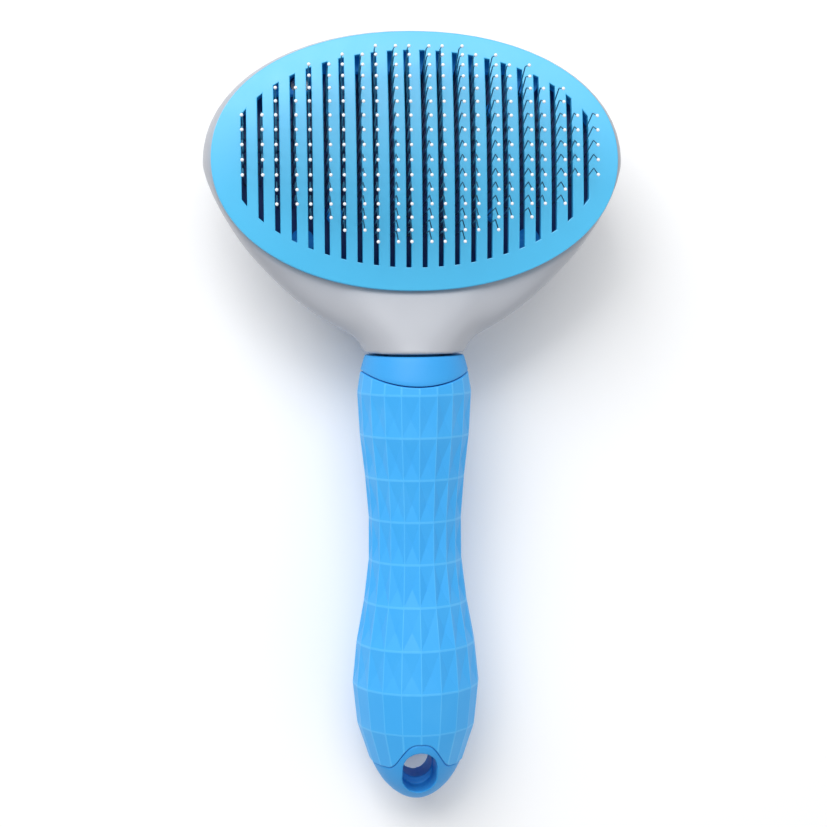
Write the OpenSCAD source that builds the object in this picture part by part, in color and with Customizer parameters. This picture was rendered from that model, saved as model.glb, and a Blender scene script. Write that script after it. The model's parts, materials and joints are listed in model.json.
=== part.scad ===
// Self-cleaning slicker brush: a plate with long slots is pushed forward over
// the bent pins by a button on the back, and lifts the hair off them.
// The brush lies on its back. +Z is the way the pins point, and +Y runs from
// the handle to the head. Sizes are in millimetres.

/* [Plate] */
// Width of the slotted plate
plate_w = 100; // [84:1:124]
// Length of the slotted plate, along the handle's line
plate_l = 64; // [54:1:80]
// Thickness of the plate
plate_t = 2; // [1.5:0.1:2.6]
// Radius that the plate is curved to, about the width
plate_bow = 150; // [120:5:300]
// Height of the plate's face at its middle, above the surface the brush lies on
plate_face = 38; // [37:0.5:44]
// Width of each slot
slot_w = 1.25; // [1.1:0.05:1.6]
// Distance between the middles of two slots
slot_pitch = 4; // [3.7:0.1:4.4]
// Margin of plain plate at the slots' ends
slot_margin = 5.3; // [4:0.1:8]

/* [Pins] */
// Diameter of the pin wire
wire_d = 0.32; // [0.24:0.02:0.4]
// Diameter of the ball on each pin's tip
ball_d = 0.84; // [0.6:0.02:1]
// Height of the pins' tips above the plate
pin_reach = 13; // [12:0.5:16]
// Height of the bend above the plate
bend_height = 7.9; // [5:0.1:10]
// Lean of a pin below its bend, towards the head's end
lean_low = 13; // [5:1:18]
// Lean of a pin above its bend, towards the handle
lean_high = 20; // [10:1:28]
// How far a tip stands to the side of its slot's middle
splay = 0.4; // [0:0.05:0.45]
// Angle between the two middle rows of pins
row_step = 2.2; // [1.9:0.05:2.3]
// Distance from the plate's face down to the line that the pins fan from
fan_depth = 80; // [70:1:110]

/* [Shell] */
// How far the shell stands out past the plate at the sides
shell_out = 2.2; // [1:0.1:4]
// How far the shell stands out past the plate at the head's end
shell_end = 1; // [0.8:0.1:4]
// Wall of the shell
shell_wall = 2; // [1.6:0.1:2.6]
// Depth of the shell behind its widest line
shell_depth = 17; // [16:0.5:22]
// Width of the neck
neck_w = 24.9; // [22:0.1:30]
// Distance from the plate's middle to the end of the neck
neck_reach = 47.3; // [44:0.1:60]

/* [Ejector] */
// Travel of the button and the plate
travel = 10; // [6:0.5:10.5]
// Diameter of the button
button_d = 34; // [28:1:38]
// Wall of the button
button_wall = 2; // [1.4:0.1:2.6]
// Gap round everything that slides
slide_gap = 0.35; // [0.2:0.05:0.5]
// Diameter of the plate's four posts
post_d = 2.4; // [2:0.1:2.5]
// Diameter of the spring wire
spring_wire = 1; // [0.7:0.1:1.3]
// Turns of the spring
spring_turns = 8; // [6:1:9]

/* [Handle] */
// Length of the handle, from the neck to the tip
handle_l = 114.2; // [100:0.5:140]
// Diameter at the shoulder, just behind the collar
shoulder_d = 29; // [26:0.5:34]
// Diameter at the waist
waist_d = 23.4; // [22.6:0.2:28]
// Diameter at the belly
belly_d = 32.4; // [29:0.2:38]
// Slope of the handle against the plate
handle_slope = 5.5; // [3:0.5:8]
// Thickness of the soft sleeve
sleeve_t = 2; // [1.5:0.1:2.6]
// Diameter of the hang hole
hang_d = 8.1; // [6:0.1:10]
// Length of the hang hole's oval mouth
hang_l = 11.3; // [10:0.1:14]

/* [Hidden] */
$fn = 64;
// Slots, and how many staples of two pins stand in each pair of slots. The
// slots' ends lie on an oval that is this far inside the plate's sides.
slots = 22;
slot_side = 3.9;
slot_y = 0.35;
staples = [5, 9, 12, 14, 16, 16, 16, 14, 12, 9, 5];
// Rows of pins: they stand farthest apart about one row, counted from 0 at
// the head's end, and draw together by this angle a row to both sides of it.
rows = 16;
row_widest = 8.36;
row_turn = 6.36;
row_lean = -1.13;
outline_power = 2.1;
outline_points = 96;
eps = 0.01;

// The staples' bars lie in a shallow pocket between the pad and the carrier.
pad_t = 3.5;
pad_gap = 0.8;
carrier_t = 2.2;
bar_pocket = 0.5;
fan_z = plate_face - fan_depth;
pad_r = fan_depth - plate_t - pad_gap;
carrier_r = pad_r - pad_t - bar_pocket;
bar_r = pad_r - pad_t - wire_d / 2;
bend_r = fan_depth + bend_height;
tip_r = fan_depth + pin_reach;
bend_shift = (bend_r - bar_r) * tan(lean_low);
tip_shift = bend_shift - (tip_r - bend_r) * tan(lean_high);
pin_field_y = 0.5;

// Shell: its widest line, its back and the rim under the plate.
shell_w = plate_w + 2 * shell_out;
shell_top = plate_l / 2 + shell_end;
widest_z = plate_face - 9;
back_z = widest_z - shell_depth;
rim = 2;
rim_gap = 0.3;
// The plate's guiding lip runs inside the rim, and the pad and the carrier
// stay inside the lip.
lip_t = 1.2;
lip_drop = 6.2;
core_inset = rim + slide_gap + lip_t + 0.5;
back_power = 2.2;
// Share of the head's outline that its flat back keeps.
back_share = 0.62;
ring_n = 64;
// The sides of the head draw in along this curve on their way to the neck.
draw_in_reach = 46.8;
draw_in_y = 1.39;
draw_in_x = 1.8;

// Ejector: the button's flange stops on the shell's inner back at rest.
stop_z = back_z + shell_wall + 0.6;
frame_t = 1.4;
frame_r = button_d / 2 + 1.9;
frame_bore = 13;
button_r = button_d / 2;
post_x = 5 * slot_pitch;
post_y = 13;
arm_w = 7;
stop_d = arm_w + 1;
post_seat = stop_z + 0.6;
carrier_back = fan_z + carrier_r - carrier_t;
spring_d = 20;
spring_low = button_wall;
spring_high = carrier_back;
spigot_d = spring_d - spring_wire - 2 * slide_gap;
spigot_h = 3;
spigot_wall = 1.2;

// Screws that hold the carrier to the shell's posts.
screw_x = 7 * slot_pitch;
screw_y = 19.5;
screw_head_d = 4.2;
screw_head_h = 1.6;
screw_seat_r = screw_head_d / 2 + 0.5;
screw_d = 2;
screw_l = 9;
boss_d = 4.6;
boss_low = 14.3;
boss_gap = 1.2;

// Handle: a turned form along its own sloping line.
shoulder_at = 10.5;
waist_at = 45.5;
nose_l = 30.2;
belly_at = handle_l - nose_l;
// The collar's front edge dips, so it is shorter at the sides.
collar_l = 7.1;
collar_side = 3.7;
collar_gap = 0.5;
neck_gap = 0.6;
tenon_d = 13.5;
tenon_l = 11;
hang_from_tip = 9.2;
hang_at = handle_l - hang_from_tip;
mouth_extra = 0.5;
tongue_edge = 1.3;
tongue_r = hang_l / 2 + tongue_edge;
core_tip_gap = 6;
nose_power = 1.9;
handle_drop = max([for (s = [0 : 1 : handle_l]) s * sin(handle_slope) + handle_r(s) * cos(handle_slope)]);
neck_z = handle_drop;
// The neck's screw: its place along the handle's line, its head's seat and
// its sizes.
neck_screw_at = -5.5;
neck_seat = 2.2 - neck_w / 2;
neck_head_d = 4.8;
neck_head_h = 1.6;
neck_thread_d = 1.6;
neck_thread_end = 6.5 - tenon_d / 2;
fit_gap = 0.2;

// The whole brush is centred on the origin.
reach = neck_reach + handle_l * cos(handle_slope);
head_y = (reach - shell_top) / 2;

function two_digits(k) = str(k < 10 ? "0" : "", k);
function slot_x(i) = (i - (slots - 1) / 2) * slot_pitch;
function super(a, p) = pow(max(1 - pow(abs(a), p), 0), 1 / p);

// Points of a superellipse, with its half sizes and its power.
function oval(rx, ry, p = outline_power, n = outline_points) =
    [for (i = [0 : n - 1]) let (a = 360 * i / n)
        [rx * sign(cos(a)) * pow(abs(cos(a)), 2 / p),
         ry * sign(sin(a)) * pow(abs(sin(a)), 2 / p)]];

// A point of the head's outline: an oval towards its end, and drawn in
// towards the neck.
function head_point(a, inset) =
    let (c = cos(a), d = sin(a), rx = shell_w / 2 - inset)
    d >= 0
    ? [rx * sign(c) * pow(abs(c), 2 / outline_power),
       (shell_top - inset) * pow(d, 2 / outline_power)]
    : [rx * sign(c) * pow(abs(c), 2 / draw_in_x),
       -(draw_in_reach - inset) * pow(-d, 2 / draw_in_y)];
function plate_point(a, inset) =
    let (c = cos(a), d = sin(a))
    [(plate_w / 2 - inset) * sign(c) * pow(abs(c), 2 / outline_power),
     (plate_l / 2 - inset) * sign(d) * pow(abs(d), 2 / outline_power)];
// Height of the plate's back at a distance y from its middle.
function rim_z(y) =
    plate_face - plate_bow + sqrt(pow(plate_bow - plate_t, 2) - y * y);

// Radius of the handle at a distance s from the neck.
function swing(u, a, b) = (a + b) / 2 + (a - b) / 2 * cos(180 * u);
function handle_r(s) =
    s < shoulder_at
    ? neck_w / 2 + (shoulder_d - neck_w) / 2 * sin(90 * max(s, 0) / shoulder_at)
    : s < waist_at
    ? swing(pow((s - shoulder_at) / (waist_at - shoulder_at), 0.9), shoulder_d / 2, waist_d / 2)
    : s < belly_at
    ? swing(pow((s - waist_at) / (belly_at - waist_at), 1.15), waist_d / 2, belly_d / 2)
    : belly_d / 2 * super((s - belly_at) / (handle_l - belly_at), nose_power);

// Puts what it holds at the plate's middle, or along the handle's own line:
// there +Z runs from the neck to the tip, and +Y faces the way the pins do.
module at_head() { translate([0, head_y, 0]) children(); }
module at_handle() {
    translate([0, head_y - neck_reach, neck_z])
        rotate([90 + handle_slope, 0, 0])
            children();
}
// A long roller across the head: what is in it lies below a curved surface.
module roller(r, top, y = 0) {
    translate([-plate_w, y, top - r])
        rotate([0, 90, 0])
            cylinder(r = r, h = 2 * plate_w, $fn = 180);
}
module plate_outline(grow = 0) {
    polygon(oval(plate_w / 2 + grow, plate_l / 2 + grow));
}
// The head's wall as rings: up the outside from the flat back to the widest
// line and in to the rim, and down the inside again.
function ring(f) = [for (i = [0 : ring_n - 1]) f(360 * i / ring_n)];
function dome_ring(t, inset) =
    let (share = back_share + (1 - back_share) * super(cos(90 * t), back_power),
        z = widest_z - (shell_depth - inset) * cos(90 * t))
    ring(function(a) let (p = share * head_point(a, inset)) [p[0], p[1], z]);
function deck_ring(t, inset, drop) =
    ring(function(a)
        let (from = head_point(a, inset),
            to = plate_point(a, inset - rim_gap),
            p = to + (from - to) * cos(90 * t),
            top = rim_z(to[1]) - drop)
        [p[0], p[1], widest_z + (top - widest_z) * sin(90 * t)]);
module bowl() {
    outside = concat(
        [for (t = [0 : 0.125 : 1]) dome_ring(t, 0)],
        [for (t = [0.25 : 0.25 : 1]) deck_ring(t, 0, 0)]);
    inside = concat(
        [deck_ring(1, rim, 0), deck_ring(1, rim, shell_wall + 0.4)],
        [for (t = [1 : -0.125 : 0]) dome_ring(t, shell_wall)]);
    rings = concat(outside, inside);
    last = len(rings) - 1;
    walls = [for (i = [0 : last - 1]) for (k = [0 : ring_n - 1])
        let (a = i * ring_n + k, b = i * ring_n + (k + 1) % ring_n)
        each [[a, a + ring_n, b], [b, a + ring_n, b + ring_n]]];
    back = [for (k = [0 : ring_n - 1]) k];
    floor_face = [for (k = [0 : ring_n - 1]) (last + 1) * ring_n - 1 - k];
    polyhedron([for (r = rings) each r], concat(walls, [back], [floor_face]), convexity = 8);
}
// The neck runs from the bowl's wall to a round end that meets the collar.
module neck() {
    root_r = 3;
    root_x = 18;
    root_y = -plate_l / 2 + 1.5;
    root_low = back_z + 4;
    root_drop = 0.6;
    difference() {
        hull() {
            at_handle()
                translate([0, 0, -neck_gap - 1])
                    cylinder(d = neck_w, h = 1);
            at_head()
                for (x = [-root_x, root_x])
                    translate([x, root_y, root_low])
                        cylinder(r = root_r, h = rim_z(plate_l / 2) - root_drop - root_low);
        }
        at_head() {
            translate([0, 0, root_low - 1])
                linear_extrude(plate_face)
                    plate_outline(-rim - slide_gap / 2);
            translate([0, 0, rim_z(plate_l / 2) - slide_gap])
                linear_extrude(plate_face)
                    plate_outline(slide_gap);
        }
    }
}
// A tube through a list of points, with a flat ring of sides at each.
function unit(v) = v / norm(v);
function ring_points(path, i, r, sides) =
    let (
        before = path[max(i - 1, 0)],
        after = path[min(i + 1, len(path) - 1)],
        along = unit(after - before),
        side = unit(cross(along, abs(along[0]) > 0.7 ? [0, 1, 0] : [1, 0, 0])),
        over = cross(along, side))
    [for (k = [0 : sides - 1])
        path[i] + r * (cos(360 * k / sides) * side + sin(360 * k / sides) * over)];
module tube(path, r, sides) {
    n = len(path);
    points = [for (i = [0 : n - 1]) each ring_points(path, i, r, sides)];
    walls = [for (i = [0 : n - 2]) for (k = [0 : sides - 1])
        let (a = i * sides + k, b = i * sides + (k + 1) % sides)
        each [[a, a + sides, b], [b, a + sides, b + sides]]];
    first = [for (k = [0 : sides - 1]) k];
    last = [for (k = [0 : sides - 1]) n * sides - 1 - k];
    polyhedron(points, concat(walls, [first], [last]), convexity = 4);
}

// A point of a pin at radius r from the fan's line, shifted across it.
function fan_point(x, angle, r, shift) =
    [x, pin_field_y + r * sin(angle) + shift * cos(angle), fan_z + r * cos(angle) - shift * sin(angle)];
function row_angle(j) =
    row_lean + row_step * 180 / PI / row_turn * sin(row_turn * (row_widest - j));
function first_row(k) = ceil((rows - staples[k]) / 2);
function pin_x(i, r, side) = slot_x(i) + side * splay * (r - bar_r) / (tip_r - bar_r);
function tip_point(i, angle, side) = fan_point(pin_x(i, tip_r, side), angle, tip_r, tip_shift);
function bend_point(i, angle, side) = fan_point(pin_x(i, bend_r, side), angle, bend_r, bend_shift);

// One staple: a bar behind the pad and two bent legs.
module staple(k, angle) {
    left = 2 * k;
    right = left + 1;
    tube([tip_point(left, angle, -1), bend_point(left, angle, -1),
          fan_point(slot_x(left), angle, bar_r, 0), fan_point(slot_x(right), angle, bar_r, 0),
          bend_point(right, angle, 1), tip_point(right, angle, 1)],
         wire_d / 2, 6);
}
module pin_row(k) {
    color([0.78, 0.80, 0.83])
        at_head()
            for (j = [0 : staples[k] - 1])
                staple(k, row_angle(first_row(k) + j));
}
module tip_row(k) {
    color([0.97, 0.97, 0.98])
        at_head()
            for (j = [0 : staples[k] - 1], side = [0, 1])
                translate(tip_point(2 * k + side, row_angle(first_row(k) + j), 2 * side - 1))
                    sphere(d = ball_d);
}

// The plate: a curved shield with slots, a guiding lip and four posts.
function slot_end(x) = (plate_l / 2 - slot_margin) * super(x / (plate_w / 2 - slot_side), 2);
module slot_shapes() {
    for (i = [0 : slots - 1])
        translate([slot_x(i) - slot_w / 2, slot_y - slot_end(slot_x(i))])
            square([slot_w, 2 * slot_end(slot_x(i))]);
}
module lip_ring() {
    difference() {
        plate_outline(-rim - slide_gap);
        plate_outline(-rim - slide_gap - lip_t);
    }
}
module at_posts() {
    for (x = [-post_x, post_x], y = [-post_y, post_y])
        translate([x, y, 0])
            children();
}
module ejector_plate() {
    color([0.42, 0.80, 0.98])
        at_head() {
            difference() {
                intersection() {
                    linear_extrude(plate_face + 1)
                        difference() {
                            plate_outline();
                            slot_shapes();
                        }
                    roller(plate_bow, plate_face);
                }
                roller(plate_bow - plate_t, plate_face - plate_t);
            }
            intersection() {
                translate([0, 0, plate_face - plate_t - lip_drop])
                    linear_extrude(lip_drop + plate_t)
                        lip_ring();
                roller(plate_bow - plate_t / 2, plate_face - plate_t / 2);
            }
            intersection() {
                at_posts()
                    translate([0, 0, post_seat])
                        cylinder(d = post_d, h = plate_face - post_seat);
                roller(plate_bow - plate_t / 2, plate_face - plate_t / 2);
            }
        }
}

// The pad and the carrier follow the pins' fan.
module curved_slab(r_out, r_in) {
    difference() {
        roller(r_out, fan_z + r_out, pin_field_y);
        roller(r_in, fan_z + r_in, pin_field_y);
    }
}
module at_screws() {
    for (x = [-screw_x, screw_x], y = [-screw_y, screw_y])
        translate([x, y, 0])
            children();
}
module cushion_pad() {
    color([0.12, 0.36, 0.74])
        at_head()
            difference() {
                intersection() {
                    linear_extrude(plate_face)
                        plate_outline(-core_inset);
                    curved_slab(pad_r, pad_r - pad_t);
                }
                at_posts()
                    cylinder(d = post_d + 2 * slide_gap, h = plate_face);
                at_screws()
                    cylinder(d = screw_head_d + 1, h = plate_face);
            }
}
function screw_seat() = fan_z + sqrt(pow(carrier_r, 2) - pow(screw_y + screw_seat_r, 2));
module pin_carrier() {
    color([0.86, 0.88, 0.91])
        at_head()
            difference() {
                union() {
                    intersection() {
                        linear_extrude(plate_face)
                            plate_outline(-core_inset);
                        curved_slab(carrier_r, carrier_r - carrier_t);
                    }
                    translate([0, 0, carrier_back - spigot_h])
                        cylinder(d = spigot_d, h = spigot_h + 0.6);
                }
                translate([0, 0, carrier_back - spigot_h - eps])
                    cylinder(d = spigot_d - 2 * spigot_wall, h = spigot_h);
                at_posts()
                    cylinder(d = post_d + 2 * slide_gap, h = plate_face);
                at_screws()
                    cylinder(d = screw_d + 0.3, h = plate_face);
                at_screws()
                    translate([0, 0, screw_seat()])
                        cylinder(d = screw_head_d + 0.6, h = plate_face);
            }
}
module carrier_screws() {
    color([0.70, 0.71, 0.73])
        at_head()
            at_screws() {
                translate([0, 0, screw_seat()])
                    cylinder(d = screw_head_d, h = screw_head_h);
                translate([0, 0, screw_seat() - screw_l])
                    cylinder(d = screw_d, h = screw_l + eps);
            }
}

// The shell: the head's form hollowed out, with a rim for the plate, posts for
// the carrier's screws, the button's hole and a socket for the handle.
module neck_screw_path(d, low, high) {
    at_handle()
        translate([0, low, neck_screw_at])
            rotate([-90, 0, 0])
                cylinder(d = d, h = high - low, $fn = 32);
}
module back_shell() {
    color([0.84, 0.86, 0.90])
        difference() {
            union() {
                at_head()
                    bowl();
                neck();
                at_head()
                    at_screws()
                        translate([0, 0, boss_low])
                            cylinder(d = boss_d, h = screw_seat() - carrier_t - boss_gap - boss_low);
            }
            at_head() {
                translate([0, 0, back_z - 1])
                    cylinder(r = button_r + slide_gap, h = shell_wall + 2);
                at_screws()
                    translate([0, 0, screw_seat() - screw_l])
                        cylinder(d = screw_d, h = screw_l);
            }
            at_handle()
                translate([0, 0, -tenon_l - fit_gap])
                    cylinder(d = tenon_d + fit_gap, h = tenon_l + 1);
            neck_screw_path(neck_head_d + 4 * fit_gap, -neck_w, neck_seat);
            neck_screw_path(neck_thread_d + 4 * fit_gap, -neck_w, 0);
        }
}

// The handle: a stiff core with a collar and an end, and the soft sleeve on it.
// Both are cut from one turned form by the same shapes.
module turned(thinner = 0, to = handle_l) {
    steps = 40;
    at = [for (i = [0 : steps]) to * i / steps];
    rotate_extrude($fn = 96)
        polygon(concat([[0, 0]],
            [for (s = at) [max(handle_r(s) - thinner, 0), s]],
            [[0, to]]));
}
module across(d, at, thick = 60) {
    translate([0, thick / 2, at])
        rotate([90, 0, 0])
            cylinder(d = d, h = thick, $fn = 128);
}
function collar_r() = (pow(shoulder_d / 2, 2) + pow(collar_l - collar_side, 2)) / (2 * (collar_l - collar_side));
module core_zones(gap = 0) {
    across(2 * (collar_r() + gap), collar_l - collar_r());
    across(2 * tongue_r, hang_at);
    translate([-belly_d, -belly_d, hang_at])
        cube(2 * belly_d);
}
module hang_mouth() {
    translate([0, 0, hang_at])
        rotate([-90, 0, 0])
            linear_extrude(belly_d)
                hull()
                    for (end = [-1, 1])
                        translate([0, end * (hang_l - hang_d) / 2])
                            circle(d = hang_d + mouth_extra);
}
module handle_core() {
    color([0.30, 0.68, 0.95])
        difference() {
            at_handle()
                difference() {
                    union() {
                        intersection() {
                            turned();
                            core_zones();
                        }
                        turned(sleeve_t, handle_l - core_tip_gap);
                        translate([0, 0, -tenon_l])
                            cylinder(d = tenon_d, h = tenon_l + 1);
                    }
                    across(hang_d, hang_at);
                    hang_mouth();
                }
            neck_screw_path(neck_thread_d, -neck_w, neck_thread_end + 0.5);
        }
}
module grip_sleeve() {
    color([0.28, 0.66, 0.95])
        at_handle()
            difference() {
                turned();
                turned(sleeve_t, handle_l - core_tip_gap);
                core_zones(collar_gap);
            }
}
module neck_screw() {
    color([0.70, 0.71, 0.73])
        union() {
            neck_screw_path(neck_head_d, neck_seat - neck_head_h, neck_seat);
            neck_screw_path(neck_thread_d, neck_seat - eps, neck_thread_end);
        }
}

// What the thumb moves: the button, the frame behind it and the spring in it.
// The frame's pads meet the carrier at the end of the travel.
function stop_top() =
    fan_z + sqrt(pow(carrier_r - carrier_t, 2) - pow(post_y + stop_d / 2 + pin_field_y, 2))
    - travel - 0.1;
module frame_arms() {
    for (x = [-1, 1], y = [-1, 1])
        rotate([0, 0, atan2(y * post_y, x * post_x)])
            translate([frame_bore - 1, -arm_w / 2])
                square([norm([post_x, post_y]) - frame_bore + 1, arm_w]);
    for (x = [-post_x, post_x], y = [-post_y, post_y])
        translate([x, y])
            circle(d = stop_d + 1);
}
module pusher_frame() {
    color([0.80, 0.83, 0.88])
        at_head()
            difference() {
                union() {
                    translate([0, 0, stop_z])
                        linear_extrude(frame_t)
                            difference() {
                                union() {
                                    circle(r = frame_r);
                                    frame_arms();
                                }
                                circle(r = frame_bore);
                            }
                    at_posts()
                        translate([0, 0, stop_z + frame_t / 2])
                            cylinder(d = stop_d, h = stop_top() - stop_z - frame_t / 2);
                }
                at_posts()
                    translate([0, 0, post_seat])
                        cylinder(d = post_d, h = plate_face);
            }
}
module button_cap() {
    edge = 1.6;
    color([0.30, 0.68, 0.95])
        at_head()
            rotate_extrude($fn = 96)
                polygon(concat(
                    [[0, 0]],
                    [for (a = [-90 : 15 : 0]) [button_r - edge + edge * cos(a), edge + edge * sin(a)]],
                    [[button_r, stop_z], [button_r - button_wall, stop_z],
                     [button_r - button_wall, button_wall], [0, button_wall]]));
}
module return_spring() {
    per_turn = 12;
    low = spring_low + spring_wire / 2;
    high = spring_high - spring_wire / 2;
    n = spring_turns * per_turn;
    path = [for (i = [0 : n]) let (a = 360 * i / per_turn)
        [spring_d / 2 * cos(a), spring_d / 2 * sin(a), low + (high - low) * i / n]];
    color([0.72, 0.74, 0.77])
        at_head()
            tube(path, spring_wire / 2, 6);
}

back_shell();
pin_carrier();
cushion_pad();
carrier_screws();
handle_core();
grip_sleeve();
neck_screw();
ejector_plate();
pusher_frame();
button_cap();
return_spring();
for (k = [0 : len(staples) - 1]) {
    pin_row(k);
    tip_row(k);
}
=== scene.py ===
# %% [markdown]
# # A slicker brush, piece by piece
#
# This lesson dresses a self-cleaning slicker brush for pets. The working model
# is loaded first as a fixed frame, in metres. It knows where every part is and
# how the plate slides. Each cell then either gives a part a finish or builds a
# finer piece that stands for it, in the same place.
#
# The brush lies on its back. +Z is the way the pins point, and +Y runs from the
# handle to the head.

# %% Load the frame
import json
import math

import bmesh
import bpy
from mathutils import Matrix, Vector


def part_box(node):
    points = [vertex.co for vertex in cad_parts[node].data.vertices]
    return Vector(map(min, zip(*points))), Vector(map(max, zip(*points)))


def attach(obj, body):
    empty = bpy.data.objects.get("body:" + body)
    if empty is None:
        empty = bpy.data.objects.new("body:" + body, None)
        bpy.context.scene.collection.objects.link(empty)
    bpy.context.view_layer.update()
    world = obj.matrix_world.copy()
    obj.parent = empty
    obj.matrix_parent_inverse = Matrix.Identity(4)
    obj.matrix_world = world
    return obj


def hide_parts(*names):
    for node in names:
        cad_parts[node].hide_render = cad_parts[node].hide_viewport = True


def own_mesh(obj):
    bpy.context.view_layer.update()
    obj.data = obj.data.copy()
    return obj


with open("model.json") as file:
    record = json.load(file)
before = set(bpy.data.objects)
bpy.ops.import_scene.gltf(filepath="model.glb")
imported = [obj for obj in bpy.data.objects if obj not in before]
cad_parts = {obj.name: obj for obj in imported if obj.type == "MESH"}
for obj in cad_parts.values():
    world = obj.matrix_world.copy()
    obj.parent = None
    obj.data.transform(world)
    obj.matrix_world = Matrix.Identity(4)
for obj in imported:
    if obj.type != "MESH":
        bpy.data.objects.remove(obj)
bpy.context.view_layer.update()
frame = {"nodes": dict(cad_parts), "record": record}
print("frame:", len(frame["nodes"]), "nodes")

# %% [markdown]
# ## Where things are
#
# Sizes that the frame can tell are asked of the frame: the plate's box gives the
# plate's width, length and middle, and the hang hole's mount gives the handle's
# line. The rest are the brush's own named sizes, written once.

# %% Measure the frame
MM = 0.001
plate_lo, plate_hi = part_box("ejector_plate")
plate_w = plate_hi.x - plate_lo.x
plate_l = plate_hi.y - plate_lo.y
head_y = (plate_lo.y + plate_hi.y) / 2
plate_face = plate_hi.z
hang_hole = next(m for m in frame["record"]["mounts"] if m["name"] == "hang_hole")
hole_axis = Vector(hang_hole["axis"])
hole_middle = Vector(hang_hole["pos_m"]) + hole_axis * (hang_hole["dims"]["length_mm"] * MM / 2)
slope = math.asin(-hole_axis.y)
print(f"plate {plate_w / MM:.1f} x {plate_l / MM:.1f} mm")
print(f"handle slopes {math.degrees(slope):.1f} degrees")

# %% Name the brush's own sizes
plate_t = 2 * MM
plate_bow = 150 * MM
slots = 22
slot_pitch = 4 * MM
slot_w = 1.25 * MM
slot_margin = 5.3 * MM
slot_side = 3.9 * MM
slot_y = 0.35 * MM
outline_power = 2.1
rim = 2 * MM
slide_gap = 0.35 * MM
widest_z = plate_face - 9 * MM
lip_t = 1.2 * MM
post_x, post_y, post_d = 5 * slot_pitch, 13 * MM, 2.4 * MM
pin_field_y = 0.5 * MM
fan_depth = 80 * MM
pad_t = 3.5 * MM
pad_gap = 0.8 * MM
fan_z = plate_face - fan_depth
pad_r = fan_depth - plate_t - pad_gap

handle_l = 114.2 * MM
neck_w, shoulder_d, waist_d, belly_d = 24.9 * MM, 29 * MM, 23.4 * MM, 32.4 * MM
shoulder_at = 10.5 * MM
waist_at, belly_at = 45.5 * MM, 84 * MM
nose_power = 1.9
sleeve_t = 2 * MM
hang_d, hang_l = 8.1 * MM, 11.3 * MM
hang_at = handle_l - 9.2 * MM
tenon_d, tenon_l = 13.5 * MM, 11 * MM
print(f"{slots} slots in the plate, handle {handle_l / MM:.1f} mm long")

# %% [markdown]
# ## The handle's own line
#
# The handle is turned round a line that slopes down a little towards its tip.
# One matrix carries a point from that line's frame to the brush's: `s` runs from
# the neck to the tip, and `angle` goes round from the front.

# %% Place the handle's line
down_line = Matrix.Rotation(math.radians(90) + slope, 4, "X")
neck_end = hole_middle - (down_line @ Vector((0, 0, hang_at)))
handle_place = Matrix.Translation(neck_end) @ down_line


def on_handle(angle, radius, s):
    """A point of the brush at an angle round the handle, 0 at the front."""
    return handle_place @ Vector((radius * math.sin(angle), radius * math.cos(angle), s))


def turns(sides):
    """Angles in even steps once round a circle."""
    return [2 * math.pi * k / sides for k in range(sides)]


def arch(a, power):
    """The height of a superellipse of half size 1 at a distance a from its middle."""
    return max(1 - abs(a) ** power, 0) ** (1 / power)


def swing(u, start, end):
    """Moves from start to end as u goes from 0 to 1, level at both."""
    return (start + end) / 2 + (start - end) / 2 * math.cos(math.pi * u)


def handle_r(s):
    """The handle's radius at a distance s from the neck."""
    if s < shoulder_at:
        rise = math.sin(math.pi / 2 * max(s, 0) / shoulder_at)
        return neck_w / 2 + (shoulder_d - neck_w) / 2 * rise
    if s < waist_at:
        u = (s - shoulder_at) / (waist_at - shoulder_at)
        return swing(u ** 0.9, shoulder_d / 2, waist_d / 2)
    if s < belly_at:
        u = (s - waist_at) / (belly_at - waist_at)
        return swing(u ** 1.15, waist_d / 2, belly_d / 2)
    return belly_d / 2 * arch((s - belly_at) / (handle_l - belly_at), nose_power)


print("neck end at", [round(c / MM, 1) for c in neck_end], "mm")

# %% [markdown]
# ## Shader maths as sums
#
# A material is a graph of nodes, and wiring a sum by hand takes a line for each
# node. The class below wraps a socket, so that `1 - mask * 0.5` makes the nodes
# by itself. One method, `node`, makes any other node from its type, its settings
# and the values of its sockets.


# %% Wrap a socket
class Wire:
    """A node's output that can be used in a sum."""

    def __init__(self, paint, socket):
        self.paint, self.socket = paint, socket

    def maths(self, operation, a, b):
        """A Math node on two wires or values."""
        return self.paint.node("ShaderNodeMath", {"operation": operation}, {0: a, 1: b})

    def __add__(self, other):
        return self.maths("ADD", self, other)

    def __radd__(self, other):
        return self.maths("ADD", other, self)

    def __sub__(self, other):
        return self.maths("SUBTRACT", self, other)

    def __rsub__(self, other):
        return self.maths("SUBTRACT", other, self)

    def __mul__(self, other):
        return self.maths("MULTIPLY", self, other)

    def __rmul__(self, other):
        return self.maths("MULTIPLY", other, self)

    def band(self, low, high):
        """0 below low, 1 above high, and smooth between."""
        settings = {"interpolation_type": "SMOOTHSTEP"}
        return self.paint.node("ShaderNodeMapRange", settings, {0: self, 1: low, 2: high})


print("a wire can be added, subtracted and multiplied")


# %% Start a material
def rgba(color):
    """A colour with its alpha."""
    return (*color, 1)


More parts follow.
